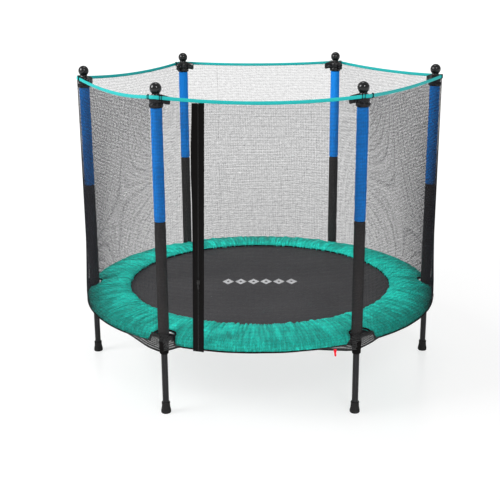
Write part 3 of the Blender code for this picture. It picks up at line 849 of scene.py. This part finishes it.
def nearest_post(along):
    """The distance from the nearest post's middle, below 0 before it, and the post's number."""
    from_first = along + BEND / 2
    post = round(from_first / PITCH)
    return from_first - post * PITCH, post % 6


DIP_BEFORE, DIP_AFTER = 0.15, 0.078  # how far the hem's dip at a leg reaches on its two sides


def hem_dip(along):
    """How far the net's lower edge hangs below its level, where it is drawn down round a leg."""
    away, post = nearest_post(along)
    closeness = max(0.0, 1.0 - abs(away) / (DIP_BEFORE if away < 0.0 else DIP_AFTER))
    return (0.036 + 0.006 * sin(2.3 * post - 1.35)) * closeness**1.2


def tuck(along, height):
    """How far the net is drawn in towards a leg, below the pad's top."""
    near = max(0.0, 1.0 - abs(nearest_post(along)[0]) / 0.05) ** 1.3
    return 0.0155 * near * clamp((0.3 - height) / 0.03)


def wall_high(station):
    return WALL_TOP_Z if station[1] is None else wall_top(*station)


def wall_low(along):
    return PAD_HEM - 0.0012 - hem_dip(along) + 0.001 * rough(along * 14.0, 3.0)


def in_zip(station):
    return station[0] == FRONT_SPAN and station[1] is not None and abs(station[1] - ZIP_X) < ZIP_WIDTH / 2


def make_net():
    """One sheet in fine upright pleats, open at the zip, with soft hanging waves, a seam and a hem."""
    rows = 15
    depth = 0.5 * (NET_PLEAT / 2) * tan(radians(50.0))
    ring = stations(NET_PLEAT / 2)
    opening = [i for i, (station, _) in enumerate(ring) if in_zip(station)]
    ordered = ring[opening[-1] + 1 :] + ring[: opening[0]]
    points, uv = [], []
    for column, (station, along) in enumerate(ordered):
        low, high = wall_low(along), wall_high(station)
        pleat = (1.0 if column % 2 else -1.0) * depth * (0.97 + 0.03 * rough(along * 11.0, 7.0))
        draped = min(1.0, abs(nearest_post(along)[0]) / 0.1)
        for row in range(rows):
            share = row / (rows - 1)
            height = low + (high - low) * share**1.25
            wave = 0.0005 * rough(along * 9.0, height * 3.2, 1.0)
            wave += 0.0001 * rough(along * 30.0, height * 9.0, 5.0)
            wave *= draped * sin(pi * min(1.0, share * 1.05)) ** 0.7 if share < 1 else 0.0
            points.append(station_point(station, height, WALL_MIDDLE + pleat + wave - tuck(along, height)))
            uv.append((along, height))
    mesh = make_mesh("net_cloth", points, grid_faces(len(ordered), rows), NET_MESH, uv, None, closed=False)
    net = add_piece(mesh, "net")
    seam_x, seam_low, steps = 0.188, NET_LOW + 0.008, 40
    path = []
    for k in range(steps + 1):
        height = seam_low + (wall_top(1, seam_x) - seam_low) * k / steps
        path.append(wall_point(1, seam_x + 0.004 * rough(height * 3.0), height))
    seam = add_sweep("net_seam", path, tape_section(0.0005, 0.0006), BLACK_TAPE, slot="net_mesh")
    path = [station_point(s, wall_low(a), WALL_MIDDLE - tuck(a, wall_low(a))) for s, a in stations(0.006)]
    hem = add_sweep("net_hem", path, tape_section(0.0058, 0.0026), BLACK_TAPE, loop=True)
    return net, hem, seam


def make_gathers():
    """Where the hem is drawn down round a leg: the net's lower edge lies in shiny pleats beside it."""
    columns, rows, fold_pitch = 71, 26, 0.01
    made = []
    for post, place in enumerate(POSTS):
        rise = 0.015 if "back" in place else 0.032
        points, uv = [], []
        for c in range(columns):
            away = -DIP_BEFORE + (DIP_AFTER + DIP_BEFORE) * c / (columns - 1)
            along = beside_post(post, away)
            near = max(0.0, 1.0 - abs(away) / 0.055)
            raised = clamp((0.056 - abs(away - 0.008)) / 0.018)
            low, high = wall_low(along) + 0.001, PAD_HEM + 0.003 + rise * raised
            tall = min(1.0, (high - low) / 0.02)
            for r in range(rows):
                height = low + (high - low) * r / (rows - 1)
                crumpled = 0.006 * rough(away * 26.0, height * 60.0, post * 3.0)
                phase = (height - low) * (1.0 + 0.5 * near) + crumpled
                lean = 0.0016 * tall * sin(2.0 * pi * phase / fold_pitch) + 0.003 - tuck(along, height)
                points.append(station_point(station_at(along), height, WALL_MIDDLE + lean))
                uv.append((away, phase))
        faces = grid_faces(columns, rows)
        made.append(add_piece(make_mesh(f"net_gather_{place}", points, faces, GATHER, uv, None, False)))
    return made


def make_cuffs():
    """The hem's wrap round each leg, from the sleeve's end down to the bare tube."""
    top, bore, steps = SLEEVE_LOW - GAP, TUBE_R + GAP, 18
    profile = []
    for k in range(steps + 1):
        share = k / steps
        taper = 0.0014 * share + 0.0028 * max(0.0, share - 0.9) * 10
        profile.append((0.0178 - taper + 0.0009 * sin(share * 21.0), top - (top - CUFF_LOW) * share))
    profile += [(bore, CUFF_LOW), (bore, top)]

    def crumple(turn, height):
        return 0.001 * rough_round(turn, 2.2, height * 160.0)

    six("leg_cuff", lathe("leg_cuff", profile, BLACK_TAPE, 40, closed=True, radial=crumple, smooth=60.0))


def band_point(station):
    return station_point(station, wall_high(station) + GAP + BAND_WIDTH / 2)


def make_band():
    path = [band_point(station) for station, _ in stations(0.008)]
    section = tape_section(BAND_WIDTH, 0.0042)
    return add_sweep("top_band_tape", path, section, BAND_CLOTH, "top_band", loop=True, smooth=60.0)


def make_loops():
    """Black loops round the band that tie it to each cap's arms, two on an arm."""
    half_height = 0.0078
    round_band = (  # outwards, and a share of the half height
        (-0.0035, 0.4), (-0.001, 1.0), (0.0028, 0.75), (0.0033, 0.0), (0.0028, -0.75), (-0.001, -1.0),
        (-0.004, -0.7),
    )
    for post, place in enumerate(POSTS):
        for number, away in enumerate((-0.02, -0.011, 0.028, 0.034), 1):
            centre = band_point(station_at(beside_post(post, away)))
            outwards = Vector((centre.x, centre.y, 0.0)).normalized()
            arm = radians(150.0 if away < 0 else 30.0) + radians(90.0)
            hold = polar(0.026, arm, 1.121) if number in (2, 3) else polar(0.036, arm, 1.116)
            anchor = at_post(post) @ hold
            path = [centre + outwards * out + Vector((0, 0, half_height * up)) for out, up in round_band]
            path = smooth_path([anchor, *path, anchor - Vector((0, 0, 0.0035))], 5)
            add_sweep(f"band_loop_{place}_{number}", path, round_section(0.0013, 7), BLACK_TAPE, smooth=70.0)


def two_sided(name, rows, columns, look, place):
    """A thin closed sheet. place(row, column, side) gives a point of it and its place on the map."""
    points, uv = [], []
    for row in range(rows):
        for side in (1, -1):
            for column in range(columns)[::side]:
                point, flat = place(row, column, side)
                points.append(point)
                uv.append(flat)
    return make_mesh(name, points, capped_grid(rows, 2 * columns), look, uv, 50.0)


def zip_cloth(side, name, low, high):
    """A tape with a rolled outer edge, a little rippled, kinked outwards at the slider's rest."""
    inner = ZIP_X + side * 0.0011
    outer = ZIP_X + side * (ZIP_WIDTH / 2 + 0.0012)
    rows, columns = 90, 11

    def place(row, column, face):
        height = low + (high - low) * row / (rows - 1)
        share = column / (columns - 1)
        wide = 0.0045 * bell(height, 0.93, 0.13) if side < 0 else 0.0
        across = inner + (outer - wide - inner) * share
        ripple = 0.0007 * rough(height * 26.0, side * 4.0) * sin(pi * share)
        bulge = 0.0011 * bell(share, 0.88, 0.13) + ripple + 0.0016 * bell(height, 0.515, 0.012) * (1 - share)
        return wall_point(FRONT_SPAN, across, height, WALL_MIDDLE + bulge + face * 0.0006), (across, height)

    add_piece(two_sided(f"zip_cloth_{name}", rows, columns, BLACK_TAPE, place), f"zip_tape_{name}")


def zip_teeth(side, name, low, high):
    """A row of teeth, half a pitch away from the other tape's."""
    pitch = 0.0034
    corners = ((0.0026, -0.0009), (-0.0014, -0.0009), (-0.0014, 0.0009), (0.0026, 0.0009))
    points, faces = [], []
    for k in range(int((high - low - 0.002) / pitch)):
        height = low + 0.001 + pitch * (k + (0.5 if side > 0 else 0.0))
        first = len(points)
        for rise in (-0.0008, 0.0008):
            for across, depth in corners:
                place = (ZIP_X + side * across, height + rise, WALL_MIDDLE + depth)
                points.append(wall_point(FRONT_SPAN, *place))
        faces += [tuple(first + i for i in face) for face in capped_grid(2, len(corners))]
    mesh = make_mesh(f"zip_teeth_{name}", points, faces, TEETH, [(p.x, p.z) for p in points], 30.0)
    add_piece(mesh)


def make_zip():
    for side, name in ((-1, "left"), (1, "right")):
        for make in (zip_cloth, zip_teeth):
            make(side, name, NET_LOW - 0.001, wall_top(FRONT_SPAN, ZIP_X))


def joint(name):
    return next(j for j in frame["joints"] if j["name"] == name)


def make_slider():
    """The zip's slider and its pull, in the frame of the zip's line."""
    rise = Vector(joint("zip_slide")["axis"]).normalized()
    pin = Vector(joint("pull_swing")["pos_m"])
    pin_across = -Vector(joint("pull_swing")["axis"]).normalized()
    across = (pin_across - rise * pin_across.dot(rise)).normalized()
    inwards = rise.cross(across)
    w, h, plate, gap = 0.005, 0.007, 0.0027, 0.0015
    boxes = [
        ((-w, -plate, -h), (w, -gap, h)),
        ((-w, gap, -h), (w, plate, h)),
        ((-0.0006, -0.0018, -0.0012), (0.0006, 0.0018, h - 0.001)),
        ((-0.0032, -0.006, -0.0024), (-0.0022, -0.0022, 0.0024)),
        ((0.0022, -0.006, -0.0024), (0.0032, -0.0022, 0.0024)),
        ((-0.0028, -0.0052, -0.0006), (0.0028, -0.004, 0.0006)),
    ]
    body = bevelled("zip_slider_body", boxes, ZIP_METAL, 0.0003)
    place = axes_at(pin + inwards * 0.0046, across, inwards, rise)
    add_piece(body, "zip_slider", "slider", place=place)
    boxes = [
        ((-0.0019, -0.0006, -0.024), (0.0019, 0.0006, -0.0014)),
        ((-0.0024, -0.0008, -0.0235), (0.0024, 0.0008, -0.012)),
    ]
    eye_line = [(0.0011, -0.0018), (0.0017, -0.0018), (0.0017, 0.0018), (0.0011, 0.0018)]
    eye = turned(lathe("pull_eye", eye_line, ZIP_METAL, 20, closed=True), Matrix.Rotation(pi / 2, 4, "Y"))
    pull = merged("zip_pull_tab", [eye, bevelled("pull_tab", boxes, ZIP_METAL, 0.00025)], ZIP_METAL)
    up = Vector((0, 0, 1))
    place = axes_at(pin, pin_across, up.cross(pin_across), up)
    add_piece(pull, "zip_pull", "pull", place=place)


def make_label():
    """A plain tag that hangs from the hem and curls a little."""
    centre, top, bottom = middle("care_label"), highest("care_label").z, lowest("care_label").z
    turn = atan2(centre.y, centre.x)
    columns = 7
    rows = [  # share of the way down, half the width
        (0.0, 0.0055), (0.25, 0.0055), (0.42, 0.0054), (0.46, 0.0038), (0.55, 0.0036), (0.8, 0.0035),
        (0.97, 0.0034), (1.0, 0.0032),
    ]

    def place(row, column, side):
        share, half = rows[row]
        height = top + (bottom - top) * share
        s = -half + 2 * half * column / (columns - 1)
        curl = 0.0022 * share**2 + 0.0006 * sin(share * 7.0) + side * 0.0003 + 0.0004 * cos(s * 500.0)
        sideways = polar(s + 0.001 * share, turn + radians(90.0))
        return polar(centre.xy.length + curl, turn, height) + sideways, (s, height)

    tag = add_piece(two_sided("care_tag", len(rows), columns, RED_CLOTH, place), "care_label")


# ---- pad
PAD_TOP_LINE = [  # radius, height
    (0.529, 0.303), (0.5282, 0.3062), (0.529, 0.31), (0.5325, 0.3142), (0.539, 0.3172), (0.548, 0.3188),
    (0.562, 0.3192), (0.578, 0.3186), (0.596, 0.3175), (0.614, 0.316), (0.632, 0.314), (0.65, 0.3118),
    (0.664, 0.3098), (0.676, 0.3074), (0.685, 0.3042), (0.691, 0.3002), (0.695, 0.2952), (0.697, 0.29),
    (0.698, 0.284), (0.6982, 0.274),
]
PAD_LOW_LINE = [
    (0.529, 0.3018), (0.534, 0.3012), (0.56, 0.3012), (0.6, 0.3), (0.635, 0.299), (0.664, 0.2978),
    (0.678, 0.2965), (0.687, 0.2935), (0.692, 0.2885), (0.6936, 0.283), (0.695, 0.2735),
]
NOTCH_SHIFT = {"front_right": 0.016, "front_left": 0.004, "left": 0.002, "right": 0.004}


def notch_half(radius):
    """Half the notch's width at a radius: a round-ended slot open to the outside."""
    inner, full, width = 0.649, 0.673, 0.04
    if radius <= inner:
        return 0.0
    share = min(1.0, (radius - inner) / (full - inner))
    flare = 0.012 * max(0.0, (radius - full) / (PAD_R - full)) ** 1.3
    return width * sqrt(1.0 - (1.0 - share) ** 2) + flare


def line_at(line, count):
    """Points evenly spaced by length along a polyline."""
    lengths = lengths_along(line)
    even = np.linspace(0, lengths[-1], count)
    radii, heights = (np.interp(even, lengths, values) for values in zip(*line))
    return [(float(r), float(h)) for r, h in zip(radii, heights)]


def gathers(turn, share):
    """The cover's folds at an angle and a share of the way from the inner edge to the hem."""
    drifted = turn + 0.016 * share * rough_round(turn, 5.0, share * 2.0)

    def folds(count, seed, stretch):
        return abs(sin(0.5 * count * drifted + 2.2 * rough_round(turn, 14.0, seed + share * stretch)))

    strength = 0.45 + 1.3 * abs(rough_round(turn, 8.0, 4.0))
    near = bell(share, 0.2, 0.24)
    outer = bell(share, 0.56, 0.22)
    total = 0.0046 * exp(-share / 0.11) * folds(416, 1.0, 0.6)
    total += 0.005 * near * strength * folds(210, 9.0, 1.2)
    total += 0.0095 * (near + 0.8 * outer) * abs(rough_round(turn, 34.0, 17.0 + share * 1.5))
    total += 0.006 * outer * abs(rough_round(turn, 15.0, 30.0 + share * 2.0))
    return total + 0.0014 * rough_round(turn, 60.0, 50.0 + share * 9.0)


def puffed(piece, sewn, frames, limit):
    """Cloth under air pressure between the sewn edges; no point may move further than the limit."""
    mesh = piece.data
    group = piece.vertex_groups.new(name="sewn")
    group.add(sorted(sewn), 1.0, "REPLACE")
    cloth = piece.modifiers.new("cloth", "CLOTH")
    for name, value in {
        "quality": 4, "mass": 0.3, "tension_stiffness": 12.0, "compression_stiffness": 6.0,
        "shear_stiffness": 3.0, "bending_stiffness": 0.05, "use_pressure": True,
        "uniform_pressure_force": 3.0, "shrink_min": -0.035, "vertex_group_mass": "sewn",
    }.items():
        setattr(cloth.settings, name, value)
    cloth.settings.effector_weights.gravity = 0.0
    cloth.collision_settings.use_collision = False
    cloth.point_cache.frame_end = frames
    scene = bpy.context.scene
    for step in range(1, frames + 1):
        scene.frame_set(step)
        shape = piece.evaluated_get(bpy.context.evaluated_depsgraph_get())
    settled = [v.co.copy() for v in shape.data.vertices]
    piece.modifiers.remove(cloth)
    piece.vertex_groups.remove(group)
    for vertex, there in zip(mesh.vertices, settled):
        move = there - vertex.co
        if move.length > limit:
            move *= limit / move.length
        vertex.co += move
    scene.frame_set(1)
    mesh.update()


def strip(first, second):
    """Triangles between two rows of points of different lengths."""
    faces = []
    i = j = 0
    last_i, last_j = len(first) - 1, len(second) - 1
    while i < last_i or j < last_j:
        if j == last_j or (i < last_i and i * last_j <= j * last_i):
            faces.append([first[i], first[i + 1], second[j]])
            i += 1
        else:
            faces.append([first[i], second[j + 1], second[j]])
            j += 1
    return faces


def cut_rows(line):
    """The rows along a notch's side, from the last one inside its round end."""
    return range(sum(notch_half(radius) <= 0.0 for radius, _ in line) - 1, len(line))


def make_pad():
    """The padded ring as six joined patches between the notches: top, underside and cut edges."""
    columns = 210
    top, low = line_at(PAD_TOP_LINE, 46), line_at(PAD_LOW_LINE, 12)
    index, points, uv, painted_fold_shade, faces = {}, [], [], [], []

    def place(line, row, span, column):
        """The number of a grid point. Neighbouring patches share their ends inside the notches."""
        radius, height = line[row]
        half = asin(notch_half(radius) / radius)
        shared = half == 0.0 and column == columns
        key = (line is top, row, (span + 1) % 6 if shared else span, 0 if shared else column)
        if key in index:
            return index[key]
        before, after = (NOTCH_SHIFT.get(POSTS[k % 6], 0.0) / radius for k in (span, span + 1))
        start, end = post_angle(span) + before + half, post_angle(span + 1) + after - half
        share = column / columns
        turn = start + (end - start) * (share + 0.035 * sin(2 * pi * share))
        down = row / (len(line) - 1)
        fold = 0.0
        if line is top:
            lift = fold = gathers(turn, down)
            edge = min(share, 1.0 - share) * (end - start) * radius
            if half > 0.0:
                lift *= min(1.0, 0.25 + edge / 0.02)
                height -= 0.005 * bell(edge, 0.0, 0.01) * (1.0 - down * 0.6)
            here, there = line[max(0, row - 1)], line[min(len(line) - 1, row + 1)]
            slope = Vector((there[0] - here[0], there[1] - here[1])).normalized()
            shift = (lift - 0.0034) * (1.0 - max(0.0, (down - 0.86) / 0.14) ** 2)
            radius -= slope.y * shift
            height += slope.x * shift
        index[key] = len(points)
        points.append(polar(radius, turn, height))
        uv.append((turn * 0.62, down * 0.2 if line is top else -down * 0.2))
        # painted shade: the fold height kept for the material, which lightens the colour on the folds and
        # darkens it in the hollows
        painted_fold_shade.append(clamp(fold / 0.009))
        return index[key]

    for span in range(6):
        for line in (top, low):
            for row in range(len(line) - 1):
                for column in range(columns):
                    corners = ((row, column), (row, column + 1), (row + 1, column + 1), (row + 1, column))
                    face = [place(line, r, span, c) for r, c in corners]
                    faces.append(face if line is top else face[::-1])
        for column in range(columns):
            for t, l in ((0, 0), (len(top) - 1, len(low) - 1)):
                corners = ((top, t, column), (top, t, column + 1), (low, l, column + 1), (low, l, column))
                face = [place(line, r, span, c) for line, r, c in corners]
                faces.append(face if t else face[::-1])
        for column in (0, columns):
            sides = [[place(line, row, span, column) for row in cut_rows(line)] for line in (top, low)]
            faces += strip(*sides)
    mesh = make_mesh("pad_cushion", points, faces, PAD_CLOTH, uv, 75.0)
    # the painted fold shade, stored as a point attribute for the material
    mesh.attributes.new("fold", "FLOAT", "POINT").data.foreach_set("value", painted_fold_shade)
    pad = add_piece(mesh, "pad")
    for post, name in enumerate(POSTS):
        rows = cut_rows(top)[1:]
        line = [points[place(top, row, (post - 1) % 6, columns)] for row in rows[::-1]]
        line += [points[place(top, row, post, 0)] for row in rows]
        path = smooth_path(line[::2], 3)
        add_sweep(f"notch_binding_{name}", path, round_section(0.0032, 8), BLACK_TAPE, smooth=70.0)
    edge = [
        (0.546, 0.3009), (0.529, 0.3012), (0.5272, 0.3022), (0.5262, 0.3048), (0.5268, 0.3078),
        (0.5286, 0.307), (0.5284, 0.304), (0.5296, 0.302), (0.546, 0.3016),
    ]

    def scalloped(turn, height):
        return 0.0008 - 0.0022 * abs(sin(104.0 * turn + 2.0 * rough_round(turn, 14.0)))

    add_piece(lathe("pad_backing", edge, BLACK_TAPE, 720, closed=True, radial=scalloped, smooth=60.0))
    sides = cut_rows(top)[1:]
    sewn = {
        number
        for (on_top, row, _, column), number in index.items()
        if not on_top or row in (0, len(top) - 1) or (column in (0, columns) and row in sides)
    }
    puffed(pad, sewn, 10, 0.0035)


# ---- floor and light
def make_stage():
    look = Look("floor", (0.28, 0.28, 0.28), 0.28, 0.4)
    look.drive("Emission Color", (1.0, 1.0, 1.0, 1.0))
    reach = look.node("ShaderNodeVectorMath", {0: look.object_point()}, "Value", operation="LENGTH")
    look.drive("Emission Strength", reach.spread(1.0, 4.5, 0.7, 0.9))
    half = 90.0
    points = [(-half, -half, 0.0), (half, -half, 0.0), (half, half, 0.0), (-half, half, 0.0)]
    floor = link("floor", make_mesh("floor", points, [(0, 1, 2, 3)], look, closed=False))
    floor.location.z = -0.0005
    world = bpy.data.worlds.new("world")
    bpy.context.scene.world = world
    world.use_nodes = True
    background = world.node_tree.nodes["Background"].inputs
    background["Color"].default_value = (1.0, 1.0, 1.0, 1.0)
    background["Strength"].default_value = 0.52
    for name, place, size, energy, shape in (
        ("key", (-3.4, -1.4, 2.9), 1.9, 150.0, "SQUARE"),
        ("front", (1.2, -3.4, 3.0), 1.2, 50.0, "DISK"),
        ("low", (0.1, -2.5, 0.42), 0.5, 1.9, "DISK"),
        ("top", (0.0, 0.6, 4.4), 1.6, 22.0, "DISK"),
    ):
        light = bpy.data.lights.new(name, "AREA")
        light.shape = shape
        light.size = size
        light.energy = energy
        aim = Vector((0.0, 0.0, 0.5))
        if name == "low":
            light.spread = radians(44.0)
            aim = Vector((0.0, -0.6, 0.2))
        lamp = link(name, light)
        lamp.location = place
        lamp.rotation_euler = (aim - Vector(place)).to_track_quat("-Z", "Y").to_euler()
    bpy.context.scene.view_settings.view_transform = "Standard"


make_camera()
make_stage()
make_feet()
make_tubes()
make_sleeves()
make_caps()
make_ring()
make_bolts()
make_mat()
make_springs()
net_piece, hem_piece, seam_piece = make_net()
gather_pieces = make_gathers()
make_cuffs()
band_piece = make_band()
make_loops()
make_zip()
make_slider()
make_label()
make_pad()
